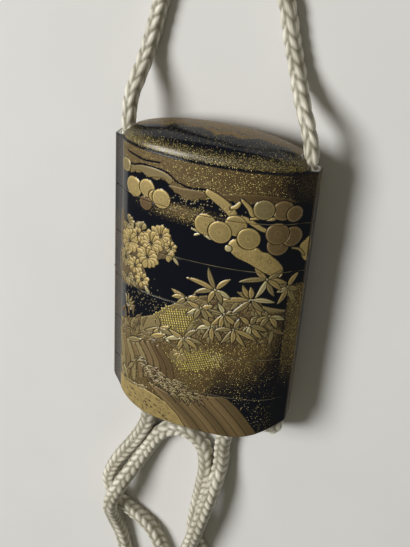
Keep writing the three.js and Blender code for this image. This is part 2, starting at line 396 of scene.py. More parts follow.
def bodyLoop():
    # One quarter from the middle of the front to the middle of the right edge, mirrored twice:
    # a superellipse, a quadratic Bezier curve for the ear's flank, and its flat edge
    a, b = body["lensHalfLength"], body["lensHalfDepth"]
    creaseTurn = np.arccos((body["creaseX"] / a) ** (body["lensPower"] / 2))
    front = superellipse(a, b, np.linspace(np.pi / 2, creaseTurn, 900))
    tip, half = body["halfWidth"], body["earHalfDepth"]
    crease = front[-1]
    bend = (crease + [tip, half]) / 2 - body["earHollow"]
    end = np.array([tip - body["earCorner"], half])
    share = np.linspace(0, 1, 120)[1:, None]
    flank = (1 - share) ** 2 * crease + 2 * share * (1 - share) * bend + share**2 * end
    quarter = np.vstack([front, flank, [[tip, half - body["earCorner"]], [tip, 0]]])
    right = np.vstack([quarter, (quarter * [1, -1])[::-1][1:]])
    left = (right * [-1, 1])[::-1]
    loop = np.vstack([left, right[1:]])
    loop[:, 1] = np.maximum(loop[:, 1], body["restingFlat"] - b)
    return loop


def softened(loop, step=0.02):
    # Even steps along the loop, then a running average weighted by a bell curve
    length = np.concatenate([[0], np.cumsum(np.linalg.norm(np.diff(loop, axis=0), axis=1))])
    count = int(length[-1] / step)
    at = np.arange(count) * length[-1] / count
    even = np.stack([np.interp(at, length, loop[:, axis]) for axis in range(2)], -1)
    reach = int(4 * body["softening"] / step)
    bell = np.exp(-0.5 * (np.arange(-reach, reach + 1) * step / body["softening"]) ** 2)
    bell /= bell.sum()
    wrapped = np.vstack([even[-reach:], even, even[:reach]])
    return np.stack([np.convolve(wrapped[:, axis], bell, "valid") for axis in range(2)], -1)


# Columns: close together where the picture is and at the corners, wider apart on the back
columnSpacing = {
    "at": [0, 24.9, 25.3, 28.2, 28.6, 29.6, 30.0, 31.2, 31.6, 32.8, 33.4, 36.5, 37.5, 40, 200],
    "gap": [0.14, 0.14, 0.24, 0.24, 0.13, 0.13, 0.3, 0.3, 0.16, 0.16, 0.26, 0.26, 0.2, 0.42, 0.42],
}


def placeColumns():
    loop = softened(bodyLoop())
    length = np.concatenate([[0], np.cumsum(np.linalg.norm(np.diff(loop, axis=0), axis=1))])
    around = length - length[-1] / 2
    gap = np.interp(np.abs(around), columnSpacing["at"], columnSpacing["gap"])
    passed = np.concatenate([[0], np.cumsum(np.diff(around) / gap[1:])])
    count = int(passed[-1])
    s = np.interp((np.arange(count) + 0.5) * passed[-1] / count, passed, around)
    spot = np.stack([np.interp(s, around, loop[:, axis]) for axis in range(2)], -1)
    ahead = np.stack([np.interp(s + 0.03, around, loop[:, axis]) for axis in range(2)], -1)
    behind = np.stack([np.interp(s - 0.03, around, loop[:, axis]) for axis in range(2)], -1)
    tangent = ahead - behind
    tangent /= np.linalg.norm(tangent, axis=1)[:, None]
    outward = np.stack([-tangent[:, 1], tangent[:, 0]], -1)
    return s, spot, outward


columnS, columnSpot, columnOut = placeColumns()
columns = len(columnS)
print("columns round a tier:", columns)


def innerLoop(inset, halfLength):
    # Each column of the lens goes straight in to a smaller superellipse whose ends are cut off
    # square at halfLength, and each column of an ear goes to the square end
    a, b = body["lensHalfLength"] - inset, body["lensHalfDepth"] - inset
    x = np.clip(columnSpot[:, 0] * halfLength / body["creaseX"], -halfLength, halfLength)
    depth = b * (1 - (np.abs(x) / a) ** body["lensPower"]) ** (1 / body["lensPower"])
    earDepth = depth * np.clip(columnSpot[:, 1] / body["creaseDepth"], -1, 1)
    onLens = np.abs(columnSpot[:, 0]) < body["creaseX"]
    return np.stack([x, np.where(onLens, np.sign(columnSpot[:, 1]) * depth, earDepth)], -1)


def domeLoop():
    # The same superellipse, drawn in by the shoulder, with its whole rounded ends
    a, b = body["lensHalfLength"], body["lensHalfDepth"]
    creaseTurn = np.arccos((body["creaseX"] / a) ** (body["lensPower"] / 2))
    x = np.clip(np.abs(columnSpot[:, 0]) / a, 0, 1)
    lensTurn = np.arccos(np.clip(x ** (body["lensPower"] / 2), 0, 1))
    earTurn = creaseTurn * np.clip(np.abs(columnSpot[:, 1]) / body["creaseDepth"], 0, 1)
    turn = np.where(np.abs(columnSpot[:, 0]) < body["creaseX"], lensTurn, earTurn)
    loop = superellipse(a - body["shoulder"], b - body["shoulder"], turn)
    return loop * np.sign(columnSpot)


def baseEdge(x):
    # A parabola out from the middle and a small round at the ear's foot
    reach = np.minimum(np.abs(x), body["halfWidth"])
    slope = np.maximum(0, (reach - body["baseRiseFrom"]) / (body["halfWidth"] - body["baseRiseFrom"]))
    corner = np.maximum(0, reach - (body["halfWidth"] - body["baseCorner"]))
    return body["baseRise"] * slope**2 + body["baseCorner"] - np.sqrt(body["baseCorner"] ** 2 - corner**2)


wallRows = 80
roundRows = 3


def wallGrid(place):
    # Rows of one tier's outer wall: (height at each column, how far each row is drawn in). The
    # first and last rows turn a quarter circle into the seams
    if place == 5:
        low = baseMiddleY + baseEdge(columnSpot[:, 0])
    else:
        low = np.full(columns, shoulderY - (place + 1) * tierHeight + body["jointGap"] / 2)
    high = np.full(columns, shoulderY - place * tierHeight - (body["jointGap"] / 2 if place else 0))
    r = body["edgeRound"]
    quarter = np.linspace(0, np.pi / 2, roundRows + 1)[:-1]
    rise = r * (1 - np.cos(quarter))
    inset = r * (1 - np.sin(quarter))
    share = np.linspace(0, 1, wallRows)[:, None]
    flat = (low + r) * (1 - share) + (high - r) * share
    y = np.vstack([low + rise[:, None], flat, high - rise[::-1, None]])
    return y, np.concatenate([inset, np.zeros(wallRows), inset[::-1]])


# Picture: raised gold on black lacquer, laid on in the order a maki-e artist works. Places
# are (s, y): s runs round the wall from the middle of the front, y up the inro

lacquerLook = {
    # black lacquer drawn with a faint blue cast, a painted reflection of the sky
    "black": "080c16",
    "dust": "75643c",
    "warmDust": "523c22",
    "flake": "c2ae68",
    "grain": 0.16,       # grains of gold powder
    "flakeSize": 0.19,   # loose flakes of leaf
    "cloudScale": 260.0,  # to the metre: patches where the powder turns warmer
}

ink = {
    "gold": "b09a62",
    "pale": "c4b888",
    "bright": "ccb757",
    "olive": "96865a",
    "bronze": "86704a",
    "brown": "6c5636",
    "grey": "999276",
    "silver": "b0ab98",
}

picture = {
    "edge": 0.14,        # width over which a painted edge fades
    "gap": 0.26,         # black outline left round a motif
    "rise": 0.16,        # how far a motif stands up
}


def lacquerMaterial():
    # Urushi lacquer polished to a soft gloss, with maki-e: gold powder sprinkled into it and ground
    # flush, loose flakes of gold leaf (nashiji), and raised motifs in solid gold powder. Grains and
    # flakes are drawn a little coarser than real ones, so that they show
    material = newMaterial("urushi_lacquer_maki_e")
    tree = material.node_tree
    place = addNode(tree, "TexCoord").outputs["Object"]
    motif = addNode(tree, "Attribute", attribute_name="picture")
    dust = addNode(tree, "Attribute", attribute_name="dust").outputs["Fac"]
    flakes = addNode(tree, "Attribute", attribute_name="flakes").outputs["Fac"]
    alpha = motif.outputs["Alpha"]
    grain = addNode(tree, "TexNoise", {
        "Vector": place, "Scale": 1 / (lacquerLook["grain"] * mm), "Detail": 1.0}).outputs["Fac"]
    cloud = addNode(tree, "TexNoise", {
        "Vector": place, "Scale": lacquerLook["cloudScale"], "Detail": 3.0}).outputs["Fac"]

    # powder: grains show where their noise and the amount of dust together pass a limit
    spread = addNode(tree, "MapRange", {"Value": grain, "From Min": 0.3, "From Max": 0.7})
    powder = addNode(tree, "Math", {0: spread, 1: dust}, operation="ADD")
    powder = addNode(tree, "MapRange", {"Value": powder, "From Min": 0.75, "From Max": 1.25})
    some = addNode(tree, "MapRange", {"Value": dust, "From Min": 0.0, "From Max": 0.08})
    powder = addNode(tree, "Math", {0: powder, 1: some}, operation="MULTIPLY")

    # flakes: one to a cell, in as many cells as the amount says, and hardly any on a solid motif
    cells = addNode(tree, "TexVoronoi", {
        "Vector": place, "Randomness": 1.0, "Scale": 1 / (lacquerLook["flakeSize"] * mm)})
    chance = addNode(tree, "SeparateColor", {"Color": cells.outputs["Color"]})
    size = addNode(tree, "MapRange", {"Value": chance.outputs["Green"], "To Min": 0.22, "To Max": 0.5})
    shown = addNode(tree, "Math", {0: chance.outputs["Red"], 1: flakes}, operation="LESS_THAN")
    flake = addNode(tree, "Math", {0: cells.outputs["Distance"], 1: size}, operation="LESS_THAN")
    flake = addNode(tree, "Math", {0: flake, 1: shown}, operation="MULTIPLY")
    hidden = addNode(tree, "Math", {0: alpha, 1: 0.85}, operation="MULTIPLY")
    left = addNode(tree, "Math", {0: 1.0, 1: hidden}, operation="SUBTRACT")
    flake = addNode(tree, "Math", {0: flake, 1: left}, operation="MULTIPLY")

    # solid gold of a motif, its value a little uneven with the grain
    thin = addNode(tree, "MapRange", {
        "Value": grain, "From Min": 0.25, "From Max": 0.5, "To Min": 0.8, "To Max": 1.0})
    cover = addNode(tree, "Math", {0: alpha, 1: thin}, operation="MULTIPLY")
    uneven = addNode(tree, "MapRange", {
        "Value": grain, "From Min": 0.3, "From Max": 0.7, "To Min": 0.78, "To Max": 1.16})
    toned = addNode(tree, "HueSaturation", {"Color": motif.outputs["Color"], "Value": uneven})
    hue = addNode(tree, "MapRange", {"Value": chance.outputs["Blue"], "To Min": 0.47, "To Max": 0.53})
    light = addNode(tree, "MapRange", {"Value": chance.outputs["Green"], "To Min": 0.45, "To Max": 1.15})
    leaf = addNode(tree, "HueSaturation", {
        "Color": linear(lacquerLook["flake"]), "Hue": hue, "Value": light})

    # colours one over another: black, powder, flakes, motif
    dusty = addNode(tree, "Mix", {
        "Factor": cloud, "A": linear(lacquerLook["warmDust"]), "B": linear(lacquerLook["dust"])},
        data_type="RGBA")
    colour = addNode(tree, "Mix", {"Factor": powder, "A": linear(lacquerLook["black"]), "B": dusty},
                     data_type="RGBA")
    colour = addNode(tree, "Mix", {"Factor": flake, "A": colour, "B": leaf}, data_type="RGBA")
    colour = addNode(tree, "Mix", {"Factor": cover, "A": colour, "B": toned}, data_type="RGBA")
    metal = addNode(tree, "Math", {0: powder, 1: 0.8}, operation="MULTIPLY")
    metal = addNode(tree, "Math", {0: metal, 1: flake}, operation="MAXIMUM")
    metal = addNode(tree, "Math", {0: metal, 1: cover}, operation="MAXIMUM")
    metallic = addNode(tree, "Math", {0: metal, 1: 0.5}, operation="MULTIPLY")
    roughness = addNode(tree, "MapRange", {"Value": metal, "To Min": 0.14, "To Max": 0.56})

    # every flake lies at its own slant
    tilt = addNode(tree, "VectorMath", {0: cells.outputs["Color"], 1: (0.5, 0.5, 0.5)},
                   operation="SUBTRACT")
    slant = addNode(tree, "Math", {0: flake, 1: 0.9}, operation="MULTIPLY")
    tilt = addNode(tree, "VectorMath", {0: tilt, 3: slant}, operation="SCALE")
    height = addNode(tree, "Math", {0: grain, 1: metal}, operation="MULTIPLY")
    bump = addNode(tree, "Bump", {"Height": height, "Strength": 0.6, "Distance": 0.00003})
    normal = addNode(tree, "VectorMath", {0: bump, 1: tilt}, operation="ADD")
    normal = addNode(tree, "VectorMath", {0: normal}, operation="NORMALIZE")
    shader = addNode(tree, "BsdfPrincipled", {
        "Base Color": colour, "Metallic": metallic, "Roughness": roughness, "IOR": 1.5, "Normal": normal})
    addNode(tree, "OutputMaterial", {"Surface": shader})
    return material


lacquer = lacquerMaterial()

def inkOf(name):
    return np.array(linear(ink[name])[:3])


# The canvas is every tier's wall as one grid, from the lowest row of the base to the lid's top row
wallParts = [wallGrid(place) for place in range(6)]
tierRows = len(wallParts[0][1])
canvas = {"y": np.vstack([wallParts[place][0] for place in range(5, -1, -1)])}
canvas["colour"] = np.tile(inkOf("gold"), (*canvas["y"].shape, 1))
for layer in ("cover", "dust", "flakes", "lift"):
    canvas[layer] = np.zeros(canvas["y"].shape)
rowLowest, rowHighest = canvas["y"].min(1), canvas["y"].max(1)


def window(lowS, highS, lowY, highY):
    rows = slice(np.searchsorted(rowHighest, lowY), np.searchsorted(rowLowest, highY))
    cols = slice(np.searchsorted(columnS, lowS), np.searchsorted(columnS, highS))
    return rows, cols


def lay(box, distanceOf, colour, cover=1.0, rise=1.0, gap=1.0, rim=0.0, tone=None, flakes=0.0, dome=0.0):
    # Lays a motif over what is there. distanceOf gives the distance to its outline in millimetres,
    # less than nothing inside. The gap is an outline of bare lacquer round it, the rim is a painted
    # highlight, how much lighter its edge is drawn, and dome is how much higher its middle stands
    rows, cols = window(*box)
    s, y = columnS[None, cols], canvas["y"][rows, cols]
    if y.size == 0:
        return
    away = distanceOf(s, y)
    inside = smoothStep(-away, -picture["edge"] / 2, picture["edge"] / 2)
    if gap:
        bare = 1 - smoothStep(picture["gap"] * gap - away, -picture["edge"] / 2, picture["edge"] / 2)
        for layer in ("cover", "dust", "flakes", "lift"):
            canvas[layer][rows, cols] *= bare
    # painted highlight: the edge of the motif is drawn lighter by rim
    shade = 1 + rim * np.exp(-((away + 0.22) / 0.2) ** 2)
    if tone is not None:
        shade = shade * tone(s, y, away)
    paint = inkOf(colour) * np.broadcast_to(shade, y.shape)[..., None]
    height = picture["rise"] * (rise + dome * (1 - np.exp(np.minimum(away, 0) / 0.6)))
    share = inside[..., None] * (cover > 0)
    canvas["colour"][rows, cols] += (paint - canvas["colour"][rows, cols]) * share
    canvas["cover"][rows, cols] += (cover - canvas["cover"][rows, cols]) * inside
    canvas["lift"][rows, cols] += (height - canvas["lift"][rows, cols]) * inside
    canvas["flakes"][rows, cols] += (flakes - canvas["flakes"][rows, cols]) * inside


def around(middle, reach):
    return middle[0] - reach, middle[0] + reach, middle[1] - reach, middle[1] + reach


def boxOf(points, spare=1.0):
    points = np.asarray(points)
    return (points[:, 0].min() - spare, points[:, 0].max() + spare,
            points[:, 1].min() - spare, points[:, 1].max() + spare)


def polarOf(middle):
    return lambda s, y: (np.hypot(s - middle[0], y - middle[1]), np.arctan2(y - middle[1], s - middle[0]))


def curveDistance(s, y, points):
    # Distance to a broken line, and how far along it the nearest place is, from nought to one
    points = np.asarray(points, float)
    best = np.full(y.shape, 1e9)
    along = np.zeros(y.shape)
    steps = np.concatenate([[0], np.cumsum(np.linalg.norm(np.diff(points, axis=0), axis=1))])
    for start, end, before, after in zip(points[:-1], points[1:], steps[:-1], steps[1:]):
        run = end - start
        share = ((s - start[0]) * run[0] + (y - start[1]) * run[1]) / max(run @ run, 1e-9)
        share = np.clip(share, 0, 1)
        away = np.hypot(s - start[0] - share * run[0], y - start[1] - share * run[1])
        nearer = away < best
        best = np.where(nearer, away, best)
        along = np.where(nearer, (before + share * (after - before)) / steps[-1], along)
    return best, along


def bent(points, steps=6):
    flat = np.column_stack([np.asarray(points, float), np.zeros(len(points))])
    return smoothPath(flat, steps)[:, :2]


def areaDistance(s, y, points):
    # Distance to a closed outline, less than nothing inside it
    points = np.asarray(points, float)
    closed = np.vstack([points, points[:1]])
    away, _ = curveDistance(s, y, closed)
    inside = np.zeros(away.shape, bool)
    for start, end in zip(closed[:-1], closed[1:]):
        crosses = (start[1] > y) != (end[1] > y)
        slant = (end[0] - start[0]) / (end[1] - start[1] if end[1] != start[1] else 1e-9)
        inside ^= crosses & (s < start[0] + (y - start[1]) * slant)
    return np.where(inside, -away, away)


def disc(middle, radius, colour, **more):
    lay(around(middle, radius + 1), lambda s, y: polarOf(middle)(s, y)[0] - radius, colour, **more)


def blob(points, colour, **more):
    outline = bent([*points, points[0], points[1]])
    lay(boxOf(outline), lambda s, y: areaDistance(s, y, outline), colour, **more)


def stroke(points, width, colour, taper=0.0, **more):
    # A brush line; taper is how much it thins towards both ends
    line = bent(points) if len(points) > 2 else np.asarray(points, float)

    def distanceOf(s, y):
        away, along = curveDistance(s, y, line)
        thin = 1 - taper * np.abs(2 * along - 1) ** 2
        return away - width / 2 * thin
    lay(boxOf(line, width + 0.6), distanceOf, colour, **more)


def bladeDistance(s, y, base, angle, length, width, fullest, bend=0.0):
    # A leaf or petal: its half width is a sine of a power of the way along it, so that it is
    # fullest where that power says, and its middle line bends as a parabola
    turn = np.radians(angle)
    u = ((s - base[0]) * np.cos(turn) + (y - base[1]) * np.sin(turn)) / length
    v = -(s - base[0]) * np.sin(turn) + (y - base[1]) * np.cos(turn)
    v = v - bend * length * 4 * u * (1 - u)
    power = np.log(0.5) / np.log(fullest)
    half = width / 2 * np.sin(np.pi * np.clip(u, 0, 1) ** power) ** 0.8
    beyond = np.maximum(0, np.maximum(-u, u - 1)) * length
    return np.hypot(np.maximum(np.abs(v) - half, 0), beyond) + np.minimum(np.abs(v) - half, 0), u, v


def blade(base, angle, length, width, colour, fullest=0.45, bend=0.0, rib=0.45, **more):
    def tone(s, y, away):
        _, u, v = bladeDistance(s, y, base, angle, length, width, fullest, bend)
        return 1 - rib * np.exp(-(v / 0.14) ** 2) * (u < 0.93)
    lay(around(base, length + 0.6),
        lambda s, y: bladeDistance(s, y, base, angle, length, width, fullest, bend)[0],
        colour, tone=tone, **more)


def sprinkle(box, amountOf, layer="dust"):
    rows, cols = window(*box)
    s, y = columnS[None, cols], canvas["y"][rows, cols]
    amount = amountOf(s, y) * (1 - canvas["cover"][rows, cols])
    canvas[layer][rows, cols] = np.maximum(canvas[layer][rows, cols], amount)


def line(points):
    # y of an edge at each s, or s of an edge at each y
    points = np.asarray(points, float)
    return lambda s: np.interp(s, points[:, 0], points[:, 1])


front = (-24.6, 24.6)


# Clouds and ground in sprinkled powder

def sky():
    lower = line([(-24.5, 30.6), (-20, 31.6), (-17, 32.6), (-13.5, 31.9), (-9.5, 32.6), (-7, 30.2),
                  (-3.4, 28.5), (0.6, 29.6), (3.4, 30.9), (8.6, 30.5), (13, 30.5), (18.4, 31.1),
                  (24.5, 31.4)])

    def amount(s, y):
        # scalloped lower edge; thinner and darker towards the right
        edge = lower(s) - 0.5 * np.abs(np.sin(s * 1.15))
        thinner = np.interp(s, [-24, -5, 12, 19, 23.5], [1.0, 0.88, 0.8, 0.5, 0.14])
        return smoothStep(y - edge, -0.1, 0.25) * thinner

    def haze(s, y):
        # second, lower bank of cloud under the pines on the left, fading out downwards
        bank = np.exp(-((s + 5.5) / 8.0) ** 2) * smoothStep(y, 20.8, 24.6)
        return bank * (1 - smoothStep(y, 25.6, 27.4)) * 0.8
    sprinkle((*front, 27, 39.2), amount)
    sprinkle((*front, 27, 39.2),
             lambda s, y: amount(s, y) * np.interp(y, [29, 33, 37, 38.8], [0.5, 0.32, 0.3, 0.3]), "flakes")
    sprinkle((-20, 8, 19, 28), haze)
    sprinkle((-20, 8, 19, 28), lambda s, y: 0.7 * haze(s, y), "flakes")


def cloudBanks():
    # Solid powder along the scalloped lower edges of the clouds, with bare lines between the banks
    bank = dict(rise=0.4, rim=0.3, gap=0.0,
                tone=lambda s, y, away: 0.82 + 0.14 * np.sin(s * 7 + y * 3) * np.sin(y * 9 - s * 4))
    blob([(-24.6, 31.0), (-21.6, 31.4), (-19.6, 32.2), (-17.2, 32.8), (-15.2, 32.0), (-12.6, 32.4),
          (-9.8, 32.8), (-8.4, 31.6), (-7.6, 32.8), (-10.2, 34.2), (-16.4, 34.4), (-20.4, 33.4),
          (-24.6, 34.0)], "olive", cover=0.62, **bank)
    blob([(-8.6, 31.0), (-5.8, 29.6), (-2.8, 28.8), (0.4, 29.9), (2.6, 31.0), (-0.2, 31.4), (-4.6, 31.2)],
         "bronze", cover=0.5, **bank)
    blob([(3.2, 31.0), (8.4, 30.8), (13.0, 30.8), (18.2, 31.3), (23.8, 31.6), (18.6, 32.8), (9.6, 32.4)],
         "brown", cover=0.45, **bank)
    for points in [[(-24.6, 34.2), (-20.4, 33.5), (-16.7, 34.6), (-9.2, 34.4), (-7.0, 33.0)],
                   [(-6.8, 32.8), (-3.0, 31.8), (1.4, 32.2), (4.2, 31.6)],
                   [(-22.0, 36.6), (-16.0, 36.0), (-11.4, 36.5)]]:
        stroke(points, 0.12, "brown", cover=0.0, rise=0.0, gap=0.9, taper=0.4)
    # A few cut strips of gold leaf, crossing one another
    for strip in [[(-4.8, 35.0), (-2.6, 33.6)], [(-3.4, 33.4), (-1.5, 34.5)], [(-1.9, 34.9), (-0.1, 33.2)],
                  [(-2.3, 33.2), (-0.5, 34.3)], [(0.7, 33.6), (2.7, 34.1)], [(1.2, 34.6), (2.5, 33.3)]]:
        stroke(strip, 0.17, "gold", gap=0.35, rise=0.5)


def hillGround():
    top = line([(-24.5, -15.0), (-22.3, -14.2), (-15, -10.2), (-11.9, -8.5), (-8.2, -4.8), (-5.5, -2.6),
                (-2.4, -0.8), (0, 1.2), (5.6, 3.1), (12.4, 2.8), (18, 1.8), (24.5, 0.2)])

    def amount(s, y):
        depth = top(s) - y
        fade = 1 - smoothStep(-y, np.interp(s, [-24, -5, 8, 16, 24], [60, 40, 15, 13, 4]),
                              np.interp(s, [-24, -5, 8, 16, 24], [70, 60, 33, 31, 24]))
        return smoothStep(depth, 0, 0.25) * fade * np.interp(s, [-24, 12, 20, 24.4], [1.0, 0.92, 0.8, 0.45])
    sprinkle((*front, -45, 4), amount)
    sprinkle((*front, -45, 4),
             lambda s, y: amount(s, y) * np.interp(s, [-24, 0, 10, 22], [0.2, 0.22, 0.3, 0.4]), "flakes")
    # single grains, far apart, in the black beyond
    sprinkle((4, 24.6, -44, -16),
             lambda s, y: 0.09 * smoothStep(s + 0.2 * y, -2, 4) * np.ones_like(y), "flakes")
    # solid gold along the brow of the hill, thinning downwards
    rows, cols = window(*front, -20, 4)
    s, y = columnS[None, cols], canvas["y"][rows, cols]
    depth = top(s) - y
    reach = np.interp(s, [-24, -9, 3, 12, 24], [5, 11, 9, 4.5, 1.0])
    solid = smoothStep(depth, 0, 0.2) * (1 - smoothStep(depth, reach * 0.45, reach))
    canvas["cover"][rows, cols] = np.maximum(canvas["cover"][rows, cols], 0.85 * solid)
    brow = 1 + 0.35 * np.exp(-((depth - 0.3) / 0.35) ** 2)
    mixed = inkOf("olive") * brow[..., None]
    canvas["colour"][rows, cols] += (mixed - canvas["colour"][rows, cols]) * (solid > 0)[..., None]
    canvas["lift"][rows, cols] = np.maximum(canvas["lift"][rows, cols], 0.08 * (solid > 0))


def scatter(middle, spreadS, spreadY, count, size, colour, **more):
    spots = rng.normal(0, 1, (count, 2)) * [spreadS, spreadY] + middle
    sizes = size * rng.uniform(0.6, 1.25, count)
    for spot, radius in zip(spots, sizes):
        disc(spot, radius, colour, gap=0.0, rise=0.5, **more)


# Motifs

def pineDisc(middle, radius, colour, needles=22, rim=0.3, heart=True):
    # A stylised tuft of pine needles: a disc with a painted highlight along its rim and fine lines out from
    # its middle
    def tone(s, y, away):
        far, turn = polarOf(middle)(s, y)
        rays = 0.5 + 0.5 * np.cos(turn * needles)
        lines = 1 - 0.34 * rays * smoothStep(far, radius * 0.2, radius * 0.45) * (away < -0.35)
        speck = 1 + 0.2 * np.sin(s * 9 + y * 5) * np.sin(y * 11 - s * 3)
        hollow = 1 - 0.3 * np.exp(-(far / 0.5) ** 2) if heart else 1.0
        return lines * speck * hollow
    disc(middle, radius, colour, rim=rim, tone=tone, dome=0.5, gap=0.8)


def pines():
    for middle, radius, colour in [((-22.6, 32.6), 1.8, "olive"), ((-15.2, 24.4), 1.9, "brown"),
                                   ((-19.4, 27.6), 2.7, "gold"), ((-14.9, 28.6), 2.4, "gold"),
                                   ((-12.6, 27.0), 1.6, "gold"), ((-10.5, 26.9), 2.6, "gold")]:
        pineDisc(middle, radius, colour)
    for points, width, taper in [
            ([(2.2, 31.6), (5.2, 30.0), (7.6, 28.2), (9.6, 25.6)], 2.5, 0.3),
            ([(8.2, 28.6), (9.4, 29.2), (10.2, 30.4)], 1.0, 0.4),
            ([(10.8, 31.0), (12.6, 29.2), (13.6, 27.4), (15.4, 26.9)], 1.1, 0.3),
            ([(9.8, 26.6), (12.0, 26.2), (14.2, 25.0), (16.2, 23.9), (18.6, 23.2)], 1.2, 0.4),
            ([(13.2, 26.4), (16.0, 27.0), (18.2, 26.8), (20.4, 27.6)], 0.9, 0.5)]:
        stroke(points, width, "gold", taper, rim=0.2, dome=0.6)
    stroke([(-1.6, 20.9), (1.2, 20.3), (3.4, 19.2), (5.0, 19.6)], 0.7, taper=0.3, colour="pale")
    stroke([(0.4, 19.9), (-0.8, 19.3)], 0.5, colour="pale")
    for middle, radius, colour in [((1.9, 22.9), 2.9, "gold"), ((20.9, 29.2), 2.6, "bronze"),
                                   ((23.9, 28.2), 2.1, "bronze"), ((16.2, 29.2), 2.6, "olive"),
                                   ((9.6, 24.0), 2.8, "gold"), ((20.5, 19.5), 2.7, "bronze"),
                                   ((23.9, 21.9), 2.7, "bronze"), ((20.1, 22.8), 2.9, "bronze")]:
        pineDisc(middle, radius, colour)


def trunk():
    # A thick leaning trunk with a lumpy edge and knots in its bark
    def bark(s, y, away):
        knots = 1.0
        for middle in [(10.4, 16.2), (11.4, 15.2), (18.8, 15.2), (16.2, 16.2)]:
            far = np.hypot(s - middle[0], (y - middle[1]) * 1.2)
            knots = knots - 0.3 * np.exp(-((far - 0.55) / 0.16) ** 2)
        grain = 0.08 * np.sin(s * 3.1 + y * 4.4) * np.sin(s * 5.3 - y * 2.1)
        scales = 0.16 * np.sin(s * 5.2 + 2.2 * np.sin(y * 3.1)) * np.sin(y * 6.3 + 1.7 * np.sin(s * 2.3))
        return (1.05 + grain + scales) * knots
    blob([(8.0, 18.3), (8.9, 16.6), (10.6, 15.2), (12.2, 14.6), (13.7, 14.0), (15.9, 12.8), (18.8, 11.2),
          (22.0, 10.4), (22.6, 12.4), (21.2, 14.8), (19.6, 16.2), (18.2, 17.3), (16.9, 17.5), (15.5, 18.5),
          (13.3, 18.7), (11.9, 19.9), (9.6, 20.3)], "gold", rim=0.22, dome=1.4, tone=bark)
    pineDisc((13.1, 20.9), 2.9, "gold")
    pineDisc((5.7, 21.5), 3.0, "gold")
    disc((8.2, 17.4), 0.9, "pale", dome=0.5)


def petal(base, angle, length, width, colour):
    fullest = 0.66

    def tone(s, y, away):
        _, u, _ = bladeDistance(s, y, base, angle, length, width, fullest)
        return 0.76 + 0.3 * np.clip(u, 0, 1)
    lay(around(base, length + 0.5),
        lambda s, y: bladeDistance(s, y, base, angle, length, width, fullest)[0],
        colour, tone=tone, rim=0.22, gap=0.5, dome=0.4)


def awayFrom(middle, angle, distance):
    turn = np.radians(angle)
    return middle[0] + distance * np.cos(turn), middle[1] + distance * np.sin(turn)


def flower(middle, reach, count, start=0.0, sweep=360.0, colour="gold"):
    # Petals round a middle, the lower ones laid first
    angles = start + sweep * (np.arange(count) + 0.5) / count
    order = np.argsort(-np.abs(((angles + 90 + 180) % 360) - 180))
    for angle in angles[order]:
        length = reach * rng.uniform(0.86, 1.06)
        petal(awayFrom(middle, angle, 0.3), angle, length, 1.75 * reach / 3.2, colour)


def flowers():
    # leaves and unopened flowers, worn to a dull brown, behind the open ones
    shade = dict(cover=0.85, rise=0.4, gap=0.5,
                 tone=lambda s, y, away: 0.72 + 0.3 * np.sin(s * 5 + y * 3) * np.sin(y * 6))
    blob([(-24.6, 19.6), (-22.0, 14.2), (-18.0, 15.4), (-13.6, 16.6), (-10, 18.4), (-7.4, 16.8),
          (-6.2, 13.6), (-6.8, 11.0), (-10.6, 9.4), (-13.8, 5.8), (-17.8, 7.2), (-24.6, 8.2)],
         "bronze", **shade)
    blob([(-24.6, 8.2), (-17.4, 7.0), (-14.4, 3.2), (-13.8, -0.6), (-17.8, -2.0), (-24.6, -2.4)],
         "bronze", **shade)
    for bloom in [
            ((-21.6, 16.4), 2.6, 9, 200, 250, "olive"), ((-20.7, 11.3), 3.4, 11),
            ((-16.4, 15.8), 2.6, 5, 50, 100, "olive"), ((-10.2, 16.4), 3.1, 11), ((-7.3, 13.9), 1.7, 8),
            ((-13.1, 13.4), 3.5, 12), ((-8.4, 12.0), 2.3, 6, -80, 110), ((-17.6, 14.4), 2.0, 8),
            ((-14.2, 9.0), 3.4, 12), ((-22.3, 5.6), 2.6, 10, 0.0, 360.0, "olive"),
            ((-18.4, 4.6), 2.4, 9), ((-21.6, 0.2), 2.5, 9, 180, 220, "olive"), ((-15.8, 1.3), 2.3, 9),
            ((-18.5, 0.2), 2.0, 6, 220, 100, "olive")]:
        flower(*bloom)
    blade((-6.4, 11.3), -50, 2.6, 0.9, "pale")
    blade((-14.9, -0.2), -50, 2.8, 1.0, "pale")
    for angle, length in [(75, 3.6), (52, 4.2), (32, 4.2), (12, 4.0), (-8, 3.6), (100, 3.0), (-30, 2.8)]:
        blade((-21.8, -8.8), angle, length, 0.7, "olive", bend=-0.12, gap=0.7, rib=0.0)
    for spot in rng.uniform([-24.4, -19.0], [-14.0, -11.5], (26, 2)):
        blade(spot, rng.uniform(20, 110), rng.uniform(2.4, 4.4), 0.5, "bronze", bend=0.12, gap=0.6, rib=0.0)


